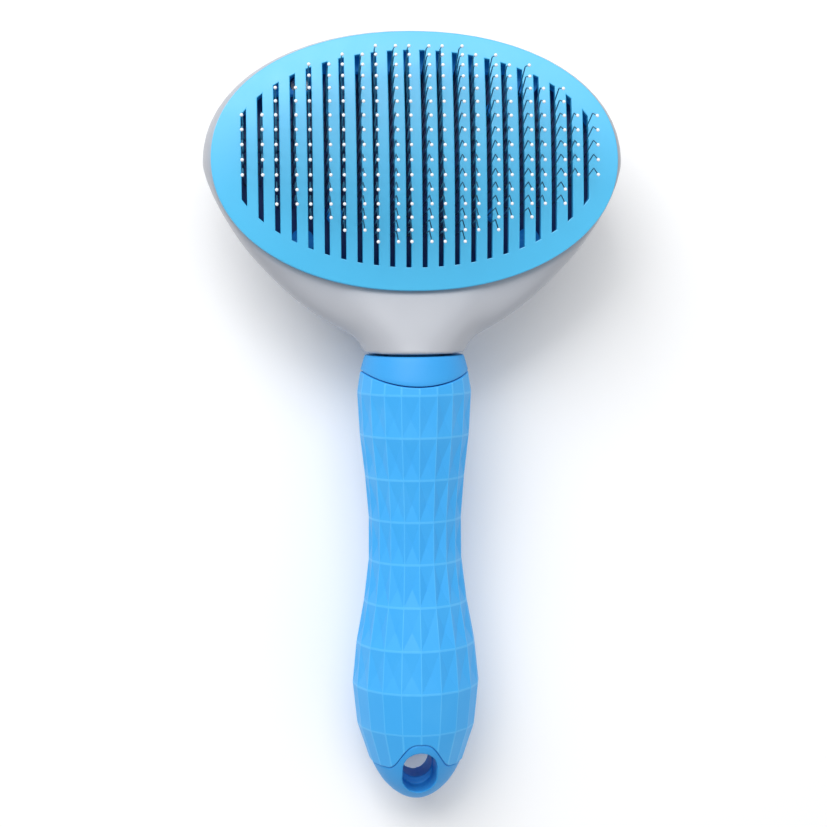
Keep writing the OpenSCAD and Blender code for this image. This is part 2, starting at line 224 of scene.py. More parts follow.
class Paint:
    """One material: its node tree and its main shader."""

    def __init__(self, name, color, roughness, **fixed):
        self.material = bpy.data.materials.new(name)
        self.material.use_nodes = True
        self.tree = self.material.node_tree
        self.shader = self.tree.nodes["Principled BSDF"]
        self.shader.inputs["Base Color"].default_value = rgba(color)
        self.shader.inputs["Roughness"].default_value = roughness
        for socket, value in fixed.items():
            self.shader.inputs[socket.replace("_", " ")].default_value = value

    def node(self, kind, settings, sockets, out=0):
        """Any node: its settings come first, then its sockets' values or links."""
        made = self.tree.nodes.new(kind)
        for key, value in settings.items():
            setattr(made, key, value)
        for key, value in sockets.items():
            if isinstance(value, Wire):
                self.tree.links.new(value.socket, made.inputs[key])
            else:
                made.inputs[key].default_value = value
        return Wire(self, made.outputs[out])

    def feed(self, socket, wire):
        """Links a wire to one of the shader's sockets."""
        self.tree.links.new(wire.socket, self.shader.inputs[socket])

    def place(self):
        """Where the point is on the piece."""
        return self.node("ShaderNodeTexCoord", {}, {}, "Object")

    def noise(self, size, detail):
        """A soft random pattern whose patches are about size across."""
        sockets = {"Vector": self.place(), "Scale": 1 / size, "Detail": detail}
        return self.node("ShaderNodeTexNoise", {}, sockets)

    def grains(self, size):
        """Small cells of about the size given."""
        sockets = {"Vector": self.place(), "Scale": 1 / size}
        return self.node("ShaderNodeTexVoronoi", {}, sockets)

    def mix(self, share, first, second):
        """Two colours mixed by a share from 0 to 1."""
        sockets = {0: share, 6: first, 7: second}
        return self.node("ShaderNodeMix", {"data_type": "RGBA"}, sockets, 2)

    def bump(self, height, depth):
        """Raises the surface by depth where height is 1."""
        sockets = {"Height": height, "Distance": depth, "Strength": 1.0}
        self.feed("Normal", self.node("ShaderNodeBump", {}, sockets))


print("a material starts from its colour and roughness")

# %% [markdown]
# ## The plastics
#
# Moulded plastic is never quite one colour: the wall is thicker in places, the
# mould's spark-eroded surface breaks up the gloss, and handling polishes it. Each
# plastic gets a wide faint tint, a roughness that wanders, and a fine grain.


# %% A moulded plastic
tint_patch, smudge_patch = 28 * MM, 6 * MM


def moulded(name, color, tint, roughness, grain, depth, **fixed):
    """A plastic with a wide tint, a wandering gloss and a moulded grain."""
    paint = Paint(name, color, roughness, **fixed)
    wide = paint.noise(tint_patch, 2.0)
    fine = paint.noise(grain, 2.0)
    smudge = paint.noise(smudge_patch, 4.0)
    paint.feed("Base Color", paint.mix(wide.band(0.3, 0.7), rgba(color), rgba(tint)))
    paint.feed("Roughness", roughness + (smudge - 0.5) * 0.12 + (fine - 0.5) * 0.08)
    paint.bump(fine, depth)
    return paint.material


shell_plastic = moulded("shell_plastic", (0.44, 0.455, 0.495), (0.42, 0.435, 0.475), 0.42,
                        0.35 * MM, 0.012 * MM, Specular_IOR_Level=0.5)
plate_plastic = moulded("plate_plastic", (0.044, 0.50, 0.85), (0.04, 0.485, 0.835), 0.42,
                        0.5 * MM, 0.006 * MM, Specular_IOR_Level=1.0)
core_plastic = moulded("core_plastic", (0.04, 0.355, 0.80), (0.036, 0.34, 0.78), 0.50,
                       0.4 * MM, 0.008 * MM, Specular_IOR_Level=0.35)
button_plastic = moulded("button_plastic", (0.042, 0.355, 0.82), (0.038, 0.34, 0.80), 0.38,
                         0.35 * MM, 0.01 * MM)
inner_plastic = moulded("inner_plastic", (0.035, 0.10, 0.30), (0.03, 0.09, 0.27), 0.45,
                        0.4 * MM, 0.01 * MM)
plastics = (shell_plastic, plate_plastic, core_plastic, button_plastic, inner_plastic)
print("plastics:", [material.name for material in plastics])


# %% [markdown]
# ## Rubber
#
# The grip is a soft overmould with a dry, slightly dusty surface: rougher than
# the hard plastic, with a little sheen from fine grain. Its ridges get a paler
# rubber of their own, a painted highlight along the rounded ridges. The pad under the plate
# is a plain blue rubber, with a faint grain from its mould. Some light reaches it
# through the plate's thin plastic, and a faint glow stands for that.


# %% Grip and pad rubber
rubber_grain, rubber_specks, rubbed_patch = 0.28 * MM, 0.45 * MM, 15 * MM


def rubber(name, color, worn, roughness, depth, sheen, **fixed):
    """A dry rubber with random patches rubbed a little lighter."""
    paint = Paint(name, color, roughness, Sheen_Weight=sheen, Sheen_Roughness=0.5, **fixed)
    fine = paint.noise(rubber_grain, 2.0)
    specks = paint.grains(rubber_specks)
    rubbed = paint.noise(rubbed_patch, 3.0).band(0.45, 0.75)
    paint.feed("Base Color", paint.mix(rubbed, rgba(color), rgba(worn)))
    paint.feed("Roughness", roughness + (fine - 0.5) * 0.15 - rubbed * 0.05)
    paint.bump(fine * 0.6 + specks * 0.4, depth)
    return paint.material


grip_rubber = rubber("grip_rubber", (0.036, 0.40, 0.88), (0.046, 0.42, 0.89),
                     0.55, 0.012 * MM, 0.05)
# A paler rubber for the ridges' bevel: a painted highlight along the ridges.
ridge_highlight_rubber = rubber("ridge_highlight_rubber", (0.07, 0.47, 0.93), (0.09, 0.50, 0.94),
                      0.5, 0.012 * MM, 0.05)
pad_rubber = rubber("pad_rubber", (0.018, 0.27, 0.74), (0.022, 0.29, 0.78),
                    0.6, 0.02 * MM, 0.02,
                    Emission_Color=(0.003, 0.35, 0.95, 1), Emission_Strength=0.07)
print("rubbers:", [material.name for material in (grip_rubber, ridge_highlight_rubber, pad_rubber)])


# %% [markdown]
# ## Steel and the balls
#
# Drawn wire has fine scratches along it and a soft, dark gloss. The pins' wire is
# tinted dark teal, a painted reflection of the blue plastic round it. The balls are
# dipped in a white resin, which is glossy and not perfectly even.


# %% Wire, screws and balls
stain_patch, resin_patch = 3 * MM, 0.5 * MM


def steel(name, color, dark, roughness, scratch):
    """Drawn or turned steel, with scratches of the size given."""
    paint = Paint(name, color, roughness, Metallic=1.0)
    lines = paint.noise(scratch, 4.0)
    stain = paint.noise(stain_patch, 2.0).band(0.35, 0.7)
    paint.feed("Base Color", paint.mix(stain, rgba(color), rgba(dark)))
    paint.feed("Roughness", roughness + (lines - 0.5) * 0.2)
    paint.bump(lines, 0.004 * MM)
    return paint.material


def resin(name, color, tint):
    """A glossy dipped resin."""
    paint = Paint(name, color, 0.18, Coat_Weight=0.4, Coat_Roughness=0.08)
    uneven = paint.noise(resin_patch, 2.0)
    paint.feed("Base Color", paint.mix(uneven.band(0.4, 0.7), rgba(color), rgba(tint)))
    paint.bump(uneven, 0.02 * MM)
    return paint.material


# The pins' dark teal colour is a painted reflection of the blue plastic round them.
wire_steel_blue_reflection = steel("wire_steel_blue_reflection", (0.16, 0.24, 0.30), (0.10, 0.16, 0.21), 0.32, 0.12 * MM)
spring_steel = steel("spring_steel", (0.56, 0.57, 0.60), (0.46, 0.47, 0.50), 0.3, 0.15 * MM)
screw_steel = steel("screw_steel", (0.60, 0.60, 0.61), (0.52, 0.52, 0.54), 0.28, 0.2 * MM)
ball_resin = resin("ball_resin", (0.93, 0.93, 0.95), (0.88, 0.89, 0.92))
print("metals:", wire_steel_blue_reflection.name, spring_steel.name, screw_steel.name)
print("resin:", ball_resin.name)


# %% [markdown]
# ## Making a piece
#
# Every piece goes the same way: a mesh is made, shaded, given its finish, and
# tied to the body that it moves with. Most meshes here are lofts, a stack of
# rings with the same number of points in each, joined by quads and closed at
# both ends.


# %% Helpers for meshes
def band(bm, low, high):
    """Quads between two rings with the same number of points."""
    return [bm.faces.new((low[k - 1], low[k], high[k], high[k - 1])) for k in range(len(low))]


def loft(rings, bm=None):
    """Joins rings of points into one closed skin."""
    bm = bm or bmesh.new()
    loops = [[bm.verts.new(p) for p in ring] for ring in rings]
    made = [bm.faces.new(loops[0]), bm.faces.new(loops[-1])]
    for low, high in zip(loops, loops[1:]):
        made += band(bm, low, high)
    bmesh.ops.recalc_face_normals(bm, faces=made)
    return bm


def to_mesh(bm, name, sharp=30.0):
    """Turns the working mesh into a mesh, smooth up to the sharp angle."""
    mesh = bpy.data.meshes.new(name)
    bm.to_mesh(mesh)
    bm.free()
    mesh.shade_smooth()
    mesh.set_sharp_from_angle(angle=math.radians(sharp))
    return mesh


def put(name, data):
    """Puts an object in the scene."""
    obj = bpy.data.objects.new(name, data)
    bpy.context.scene.collection.objects.link(obj)
    return obj


def piece(name, mesh, finish, body, slot, *nodes):
    """Puts a mesh in the scene as a piece of the brush."""
    obj = put(name, mesh)
    mesh.materials.clear()
    mesh.materials.append(finish)
    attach(obj, body)
    if nodes:
        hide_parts(*nodes)
    return obj


def apply_modifiers(obj, sharp=None):
    """Keeps the shape that the modifiers give, and removes them."""
    graph = bpy.context.evaluated_depsgraph_get()
    mesh = bpy.data.meshes.new_from_object(obj.evaluated_get(graph))
    obj.modifiers.clear()
    old, obj.data = obj.data, mesh
    mesh.name = obj.name
    bpy.data.meshes.remove(old)
    if sharp:
        mesh.shade_smooth()
        mesh.set_sharp_from_angle(angle=math.radians(sharp))


def cut_away(obj, tools, sharp=None):
    """Cuts the tools' shapes out of a piece, and removes the tools."""
    for tool in tools:
        cut = obj.modifiers.new("cut", "BOOLEAN")
        cut.operation, cut.solver, cut.object = "DIFFERENCE", "EXACT", tool
    apply_modifiers(obj, sharp)
    for tool in tools:
        bpy.data.objects.remove(tool)


def skin_over(obj, voxel, rounds):
    """Wraps the piece in an even skin and rounds its edges by smoothing."""
    wrap = obj.modifiers.new("wrap", "REMESH")
    wrap.mode, wrap.voxel_size = "VOXEL", voxel
    soft = obj.modifiers.new("soft", "SMOOTH")
    soft.factor, soft.iterations = 0.5, rounds
    apply_modifiers(obj, 40)


def disc(radius, z, sides, centre=(0, 0)):
    """A level ring of points."""
    x, y = centre
    return [Vector((x + radius * math.cos(a), y + radius * math.sin(a), z)) for a in turns(sides)]


def four(x, y):
    """The four places at x and y to each side of the head's middle."""
    return [(side * x, end * y) for side in (-1, 1) for end in (-1, 1)]


print("helpers: band, loft, to_mesh, put, piece, cut_away, skin_over, disc, four")

# %% [markdown]
# ## The shell
#
# The shell's form is already right: a bowl that is drawn out into the neck. A
# real moulding has no knife edges, so it is wrapped in an even skin about half a
# millimetre fine, and smoothing rounds its rims. A second smoothing works only
# where the neck meets the bowl, and blends the two into one curve. The sockets,
# posts and the button's hole come with it.


# %% Skin the shell
def welded_copy(node):
    """A copy of a working part's mesh with its faces joined."""
    bm = bmesh.new()
    bm.from_mesh(frame["nodes"][node].data)
    bmesh.ops.remove_doubles(bm, verts=bm.verts, dist=1e-6)
    return to_mesh(bm, node + "_skin")


shell = piece("shell_moulding", welded_copy("back_shell"), shell_plastic,
              "brush", "grey_shell", "back_shell")
skin_over(shell, 0.5 * MM, 8)
print("shell:", len(shell.data.polygons), "faces in its skin")


# %% Blend the neck into the bowl
def ease(value, low, high):
    """0 below low, 1 above high, and smooth between."""
    u = min(max((value - low) / (high - low), 0), 1)
    return u * u * (3 - 2 * u)


def blend_share(point):
    """How freely a point of the shell may move when the neck is blended in."""
    x, y = point.x, point.y - head_y
    level = abs(2 * x / plate_w) ** outline_power + abs(2 * y / plate_l) ** outline_power
    past_plate = (level ** (1 / outline_power) - 1) * plate_l / 2
    past_rim = ease(past_plate, 0.8 * MM, 3 * MM)
    on_back = ease(widest_z - point.z, 2 * MM, 4 * MM)
    line = handle_place.inverted() @ point
    off_end = ease(-line.z, 1.2 * MM, 3 * MM)
    off_bore = ease(math.hypot(line.x, line.y), tenon_d / 2 + 1 * MM, tenon_d / 2 + 3 * MM)
    off_screw = ease(max(abs(x), line.y), 4 * MM, 6 * MM)
    near_neck = ease(-y, 19 * MM, 27 * MM)
    return near_neck * max(past_rim, on_back) * off_end * off_bore * off_screw


free = shell.vertex_groups.new(name="blend")
for v in shell.data.vertices:
    share = blend_share(v.co)
    if share > 0:
        free.add([v.index], share, "REPLACE")
blend = shell.modifiers.new("blend", "SMOOTH")
blend.factor, blend.iterations, blend.vertex_group = 0.5, 240, free.name
apply_modifiers(shell, 40)
shell.vertex_groups.clear()
print("shell:", len(shell.data.polygons), "faces with its neck blended in")

# %% [markdown]
# ## The slotted plate
#
# A flat curve with holes is the easiest way to a plate with 22 slots, because
# the curve's own bevel rounds every edge at once. The flat plate is then cut
# across into strips and bent to its radius. The slots' ends lie on an oval, so
# each is cut at a slant.


# %% Outlines in the plate's plane
def oval(rx, ry, power, sides=192):
    """Points of a superellipse."""
    points = []
    for a in turns(sides):
        c, s = math.cos(a), math.sin(a)
        points.append((math.copysign(abs(c) ** (2 / power), c) * rx,
                       math.copysign(abs(s) ** (2 / power), s) * ry))
    return points


def slot_end(x):
    """How far a slot reaches from its middle, at the place x."""
    return (plate_l / 2 - slot_margin) * arch(x / (plate_w / 2 - slot_side), 2)


def slot_x(i):
    """The middle of slot i."""
    return (i - (slots - 1) / 2) * slot_pitch


def slot_outline(i):
    """Slot i's four corners, clockwise, with slanted ends."""
    left, right = slot_x(i) - slot_w / 2, slot_x(i) + slot_w / 2
    corners = [(left, -slot_end(left)), (left, slot_end(left)),
               (right, slot_end(right)), (right, -slot_end(right))]
    return [(x, y + slot_y) for x, y in corners]


def inset_oval(inset):
    """The plate's outline, drawn in by a margin."""
    return oval(plate_w / 2 - inset, plate_l / 2 - inset, outline_power)


print(f"middle slots {2 * slot_end(slot_x(slots // 2)) / MM:.1f} mm long")


# %% Cut, bevel and bend a slab
strip = 1.5 * MM


def bent_slab(outlines, thickness, bevel, radius, centre, middle_y=0.0):
    """A slab with holes, bevelled and bent round a line across the head.

    The first outline runs anticlockwise and is the rim; the others are holes.
    The bend's line lies at the height `centre` and the distance `middle_y` from
    the plate's middle.
    """
    curve = bpy.data.curves.new("slab", "CURVE")
    curve.dimensions, curve.fill_mode = "2D", "BOTH"
    curve.extrude, curve.bevel_depth = thickness / 2 - bevel, bevel
    curve.bevel_resolution, curve.offset = 1, -bevel
    for outline in outlines:
        spline = curve.splines.new("POLY")
        spline.points.add(len(outline) - 1)
        for point, (x, y) in zip(spline.points, outline):
            point.co = (x, y, 0, 1)
        spline.use_cyclic_u = True
    flat = put("slab", curve)
    graph = bpy.context.evaluated_depsgraph_get()
    bm = bmesh.new()
    bm.from_mesh(bpy.data.meshes.new_from_object(flat.evaluated_get(graph)))
    bpy.data.objects.remove(flat)
    bmesh.ops.remove_doubles(bm, verts=bm.verts, dist=1e-6)
    strips = int(plate_l / 2 / strip)
    for k in range(-strips, strips + 1):
        whole = bm.verts[:] + bm.edges[:] + bm.faces[:]
        bmesh.ops.bisect_plane(bm, geom=whole, plane_co=(0, k * strip, 0), plane_no=(0, 1, 0))
    for v in bm.verts:
        level = v.co.z - thickness / 2
        away = v.co.y - middle_y
        v.co.z = centre + math.sqrt((radius + level) ** 2 - away ** 2)
        v.co.y += head_y
    return bm


plate_centre = plate_face - plate_bow
edge_soft = 0.2 * MM
plate_bm = bent_slab([inset_oval(0)] + [slot_outline(i) for i in range(slots)],
                     plate_t, edge_soft, plate_bow, plate_centre)
print("plate:", len(plate_bm.faces), "faces before its lip and posts")

# %% [markdown]
# Under the plate hang a lip, which guides it in the shell, and four posts, which
# stand in the frame that the button pushes. They show when the plate is out.

# %% Add the lip and the posts
plate_under = plate_t / 2
lip_drop = 6.2 * MM


def under_plate(x, y, drop=0.0):
    """A point in the thickness of the plate, or below it."""
    top = plate_centre + math.sqrt((plate_bow - plate_under) ** 2 - y ** 2)
    return Vector((x, y + head_y, top - drop))


lip_out, lip_in = inset_oval(rim + slide_gap), inset_oval(rim + slide_gap + lip_t)
lip_low = plate_face - plate_t - lip_drop
lip_round = 0.25 * MM
lift = Vector((0, 0, lip_round))
lip_rows = []
for (xo, yo), (xi, yi) in zip(lip_out, lip_in):
    top_out, top_in = under_plate(xo, yo), under_plate(xi, yi)
    low_out = Vector((xo, yo + head_y, lip_low))
    low_in = Vector((xi, yi + head_y, lip_low))
    across = (low_in - low_out).normalized() * lip_round
    lip_rows.append([top_out, low_out + lift, low_out + across,
                     low_in - across, low_in + lift, top_in])
loops = [[plate_bm.verts.new(point) for point in ring] for ring in zip(*lip_rows)]
lip_faces = []
for low, high in zip(loops, loops[1:] + loops[:1]):
    lip_faces += band(plate_bm, low, high)
bmesh.ops.recalc_face_normals(plate_bm, faces=lip_faces)

post_r, post_foot, chamfer = post_d / 2, plate_lo.z, 0.12 * MM
for x, y in four(post_x, post_y):
    middle = (x, y + head_y)
    loft([disc(post_r - chamfer, post_foot, 24, middle),
          disc(post_r, post_foot + 3 * chamfer, 24, middle),
          disc(post_r, under_plate(x, y).z, 24, middle)], plate_bm)
plate = piece("slotted_plate", to_mesh(plate_bm, "slotted_plate", 15), plate_plastic,
              "ejector", "blue_plate", "ejector_plate")
print("plate:", len(plate.data.polygons), "faces")

# %% [markdown]
# ## The pad
#
# The pad is a bent slab of rubber that closes the head behind the plate and
# holds the pins upright. It is made like the plate, with holes for the plate's
# posts and for the screws' heads.

# %% Make the pad
pad_margin, pad_soft, head_gap = 0.5 * MM, 0.4 * MM, 0.5 * MM
pad_inset = rim + slide_gap + lip_t + pad_margin
screw_x, screw_y, screw_head_d = 7 * slot_pitch, 19.5 * MM, 4.2 * MM


def round_hole(x, y, radius, sides=32):
    """A clockwise ring of points, for a hole."""
    return [(x + radius * math.cos(a), y - radius * math.sin(a)) for a in turns(sides)]


pad_holes = [round_hole(x, y, post_d / 2 + slide_gap) for x, y in four(post_x, post_y)]
pad_holes += [round_hole(x, y, screw_head_d / 2 + head_gap) for x, y in four(screw_x, screw_y)]
pad_bm = bent_slab([inset_oval(pad_inset)] + pad_holes, pad_t, pad_soft, pad_r, fan_z,
                   pin_field_y)
pad = piece("rubber_pad", to_mesh(pad_bm, "rubber_pad"), pad_rubber,
            "brush", "pad_rubber", "cushion_pad")
print("pad:", len(pad.data.polygons), "faces")

# %% [markdown]
# ## The pins
#
# A staple of thin wire makes two pins: a bar behind the pad and two legs. Each
# leg leans towards the head's end as it rises, then bends back towards the
# handle, and that bend combs the hair. All the pins fan out from one line
# below the head, and the rows stand closer together towards both ends. The
# wire's corners are rounded by short curves.

# %% Where the pins stand
staples = (5, 9, 12, 14, 16, 16, 16, 14, 12, 9, 5)
rows = 16
wire_d = 0.32 * MM
ball_d = 0.84 * MM
pin_reach, bend_height = 13 * MM, 7.9 * MM
lean_low, lean_high = math.radians(13), math.radians(20)
splay = 0.4 * MM
row_step, row_turn, row_lean = math.radians(2.2), math.radians(6.36), math.radians(-1.13)
row_widest = 8.36
bar_r = pad_r - pad_t - wire_d / 2
bend_r, tip_r = fan_depth + bend_height, fan_depth + pin_reach
bend_shift = (bend_r - bar_r) * math.tan(lean_low)
tip_shift = bend_shift - (tip_r - bend_r) * math.tan(lean_high)


def fan_point(i, side, angle, r, shift):
    """A point of the pin in slot i, at radius r from the fan's line."""
    x = slot_x(i) + side * splay * (r - bar_r) / (tip_r - bar_r)
    along = Vector((0, math.sin(angle), math.cos(angle)))
    over = Vector((0, math.cos(angle), -math.sin(angle)))
    return Vector((x, head_y + pin_field_y, fan_z)) + r * along + shift * over


print(f"{sum(staples)} staples, reaching {pin_reach / MM:.0f} mm past the plate's middle")

# %% Draw a wire
def rounded(path, reach, steps=3):
    """The path with each corner replaced by a short curve."""
    points = [path[0]]
    for before, corner, after in zip(path, path[1:], path[2:]):
        start = corner + (before - corner).normalized() * reach
        end = corner + (after - corner).normalized() * reach
        for k in range(steps + 1):
            t = k / steps
            points.append(start * (1 - t) ** 2 + corner * 2 * t * (1 - t) + end * t ** 2)
    return points + [path[-1]]


def wire_rings(path, radius, sides):
    """Rings of points along a path, without twist."""
    rings, side = [], None
    for k, point in enumerate(path):
        along = (path[min(k + 1, len(path) - 1)] - path[max(k - 1, 0)]).normalized()
        start = side or along.orthogonal()
        side = (start - along * start.dot(along)).normalized()
        over = along.cross(side)
        rings.append([point + radius * (math.cos(a) * side + math.sin(a) * over)
                      for a in turns(sides)])
    return rings


def ball_rings(tip, along, radius, sides=14, steps=9):
    """A ball on a wire's end, with a short collar of resin under it."""
    side = along.orthogonal().normalized()
    over = along.cross(side)
    profile = [(wire_d * 0.52, -1.5 * radius), (wire_d * 0.62, -1.15 * radius)]
    for k in range(2, steps):
        a = math.pi * k / steps
        profile.append((radius * math.sin(a), -radius * math.cos(a)))
    profile.append((radius * 0.12, radius * 0.995))
    return [[tip + along * h + r * (math.cos(a) * side + math.sin(a) * over)
             for a in turns(sides)] for r, h in profile]


print("a wire is a row of rings along a path, and a ball is a row of rings on its end")

# %% Make the rows of pins and balls
wire_corner = 0.45 * MM
for k, count in enumerate(staples):
    wires, balls = bmesh.new(), bmesh.new()
    first_row = (rows - count + 1) // 2
    for j in range(first_row, first_row + count):
        angle = row_lean + row_step / row_turn * math.sin(row_turn * (row_widest - j))
        left, right = [[fan_point(i, side, angle, tip_r, tip_shift),
                        fan_point(i, side, angle, bend_r, bend_shift),
                        fan_point(i, side, angle, bar_r, 0)]
                       for i, side in ((2 * k, -1), (2 * k + 1, 1))]
        path = left + right[::-1]
        loft(wire_rings(rounded(path, wire_corner), wire_d / 2, 8), wires)
        for tip, bend in ((path[0], path[1]), (path[-1], path[-2])):
            loft(ball_rings(tip, (tip - bend).normalized(), ball_d / 2), balls)
    number = f"{k + 1:02d}"
    piece("pins_" + number, to_mesh(wires, "pins_" + number, 50), wire_steel_blue_reflection,
          "brush", "pin_wire", "pin_row_" + number)
    piece("balls_" + number, to_mesh(balls, "balls_" + number, 60), ball_resin,
          "brush", "tip_white", "tip_row_" + number)
print("pins:", 2 * sum(staples))

# %% [markdown]
# ## The handle's core
#
# The core is the stiff blue piece that shows twice: as the collar under the neck
# and as the end with the hang hole. Between them it runs inside the grip. Its
# seams are not level rings. The collar's edge is an arc, lowest at the front,
# and the end's edge rises in an arch over the hang hole. A loft follows them
# because each ring may take a different `s` at each angle.

# %% The two seams
collar_l, collar_side = 7.1 * MM, 3.7 * MM
collar_gap = 0.3 * MM
collar_sag = collar_l - collar_side
collar_arc = ((shoulder_d / 2) ** 2 + collar_sag ** 2) / (2 * collar_sag)
wave_side = 103.7 * MM
wave_rise = 7.0 * MM
wave_reach, wave_power = 8 * MM, 1.5


def collar_edge(angle, gap=0.0):
    """How far down the collar reaches at an angle round the handle."""
    x = handle_r(collar_l) * math.sin(angle)
    return collar_l - collar_arc + math.sqrt((collar_arc + gap) ** 2 - x ** 2)


def wave_edge(angle):
    """Where the grip ends and the core's end starts."""
    s = wave_side
    for _ in range(4):
        x = abs(handle_r(s) * math.sin(angle))
        u = min(x / wave_reach, 1) ** wave_power
        s = wave_side - wave_rise * (1 + math.cos(math.pi * u)) / 2
    return s


around = turns(160)


def seam_ring(edge, s_shift, r_shift):
    """A ring that follows a seam, moved along the handle and inwards."""
    ring = []
    for a in around:
        s = edge(a) + s_shift
        ring.append(on_handle(a, handle_r(s) - r_shift, s))
    return ring


def level_ring(radius, s):
    """A ring straight across the handle."""
    return [on_handle(a, radius, s) for a in around]


print(f"collar edge {collar_edge(0) / MM:.1f} mm, arch top {wave_edge(0) / MM:.1f} mm")

# %% Collar, tenon and rod
soft = 0.3 * MM
rod_gap = 0.05 * MM
rod = sleeve_t + rod_gap
rod_from, rod_step, rod_rings = 9 * MM, 5.6 * MM, 16
collar_steps = 7


def on_collar(share):
    """A line round the collar, at a share of the way to its edge."""
    return lambda angle: soft + (collar_edge(angle) - 2 * soft) * share


core_rings = [level_ring(tenon_d / 2 - soft, -tenon_l), level_ring(tenon_d / 2, -tenon_l + soft),
              level_ring(tenon_d / 2, 0), level_ring(neck_w / 2 - soft, 0),
              level_ring(neck_w / 2 - soft * 0.3, soft * 0.3), level_ring(handle_r(soft), soft)]
core_rings += [seam_ring(on_collar(k / collar_steps), 0, 0) for k in range(1, collar_steps + 1)]
core_rings += [seam_ring(collar_edge, -soft * 0.3, soft * 0.3), seam_ring(collar_edge, 0, soft),
               seam_ring(collar_edge, 0, rod)]
for k in range(rod_rings):
    s = rod_from + k * rod_step
    core_rings.append(level_ring(handle_r(s) - rod, s))
core_bm = loft(core_rings)
print("collar and rod:", len(core_bm.faces), "faces")

# %% [markdown]
# The end is lofted by itself, because a hole has to be cut in it. The hole is a
# round bore, with an oval mouth at the front. A boolean cut leaves a knife edge,
# so the end is then skinned over finely, which rounds the hole's rim and the
# seam's edge alike.

# %% The end with the hang hole
step_in, fade_l = 0.3 * MM, 5 * MM
tip_spare = 0.04 * MM
end_from, end_steps = 92 * MM, 41
end_rings = [level_ring(handle_r(end_from) - rod, end_from),
             seam_ring(wave_edge, -1.5 * MM, rod + 0.4 * MM),
             seam_ring(wave_edge, 0, rod), seam_ring(wave_edge, 0, step_in + soft),
             seam_ring(wave_edge, soft, step_in)]
for k in range(1, end_steps):
    t = math.sin(math.pi / 2 * k / end_steps)
    ring = []
    for a in around:
        start = wave_edge(a) + soft
        s = start + (handle_l - tip_spare - start) * t
        fade = max(1 - (s - start) / fade_l, 0)
        ring.append(on_handle(a, handle_r(s) - step_in * fade, s))
    end_rings.append(ring)
end = piece("handle_end", to_mesh(loft(end_rings), "handle_end"), core_plastic,
            "brush", "blue_core")
print("end:", len(end.data.polygons), "faces before its hole is cut")


# %% Cut the hang hole
hole_sides = 64
mouth_extra = 0.25 * MM


def hole_tool(radius, half_length, y_from, y_to):
    """A straight cutter across the handle, round or with round ends."""
    outline = []
    for k in range(hole_sides):
        a = 2 * math.pi * (k + 0.5) / hole_sides
        z = math.copysign(half_length, math.sin(a)) + radius * math.sin(a)
        outline.append((radius * math.cos(a), z))
    rings = [[handle_place @ Vector((x, y, hang_at + z)) for x, z in outline]
             for y in (y_from, y_to)]
    return put("hole_tool", to_mesh(loft(rings), "hole_tool"))


tools = [hole_tool(hang_d / 2, 0, -belly_d, belly_d),
         hole_tool(hang_d / 2 + mouth_extra, (hang_l - hang_d) / 2, 0, belly_d)]
cut_away(end, tools)
skin_over(end, 0.25 * MM, 7)
core_bm.from_mesh(end.data)
bpy.data.objects.remove(end)
core = piece("handle_core_moulding", to_mesh(core_bm, "handle_core_moulding", 40),
             core_plastic, "brush", "blue_core", "handle_core")
print("core:", len(core.data.polygons), "faces")

# %% [markdown]
# ## The faceted grip
#
# The grip is a ring of 20 flat columns, cut across every 10.6 mm. Each cell is
# a shallow pyramid pressed inwards, so it catches light on its lower face and
# shade on its upper one. The cells are few and exact, so they are made corner by
# corner: four triangles each. Only the raised ridges get a bevel, as the rubber
# is rounded there and crisp in the valleys.

# %% Lay out the facets
columns = 20
per_column = 8
first_crest, crest_step, crests = 9.3 * MM, 10.6 * MM, 9
crest_s = [first_crest + crest_step * k for k in range(crests)]
pit_depth, last_pit = 0.043, 0.35
pit_down = 0.57
half_column = math.pi / columns
turn_of, ring_of = turns(columns), turns(columns * per_column)


def facet_r(angle, s):
    """The radius of the flat-sided grip."""
    off = (angle % (2 * half_column)) - half_column
    return handle_r(s) * math.cos(half_column) / math.cos(off)


def facet_ring(bm, edge, s_shift, r_shift):
    """Corners along a seam, moved along the handle and inwards."""
    ring = []
    for a in ring_of:
        s = edge(a) + s_shift
        ring.append(bm.verts.new(on_handle(a, facet_r(a, s) - r_shift, s)))
    return ring


print(f"{columns} columns, crests from {crest_s[0] / MM:.1f} to {crest_s[-1] / MM:.1f} mm")


# %% Make the grip's edges and lining
def grip_top(angle):
    """The grip's upper edge, a little below the collar."""
    return collar_edge(angle, collar_gap)


grip_bm = bmesh.new()
round_steps = [(soft, 0), (soft * 0.3, soft * 0.3), (0, soft), (0, sleeve_t)]
top_rings = [facet_ring(grip_bm, grip_top, ds, dr) for ds, dr in round_steps]
end_edge_rings = [facet_ring(grip_bm, wave_edge, -ds, dr) for ds, dr in round_steps]
for rings in (top_rings, end_edge_rings):
    for low, high in zip(rings, rings[1:]):
        band(grip_bm, low, high)
inner = [top_rings[-1]]
lining_from = 6 * MM
for k in range(1, rod_rings):
    s = lining_from + k * rod_step
    inner.append([grip_bm.verts.new(on_handle(a, handle_r(s) - sleeve_t, s)) for a in ring_of])
inner.append(end_edge_rings[-1])
for low, high in zip(inner, inner[1:]):
    band(grip_bm, low, high)
print("grip:", len(grip_bm.faces), "faces before its facets")

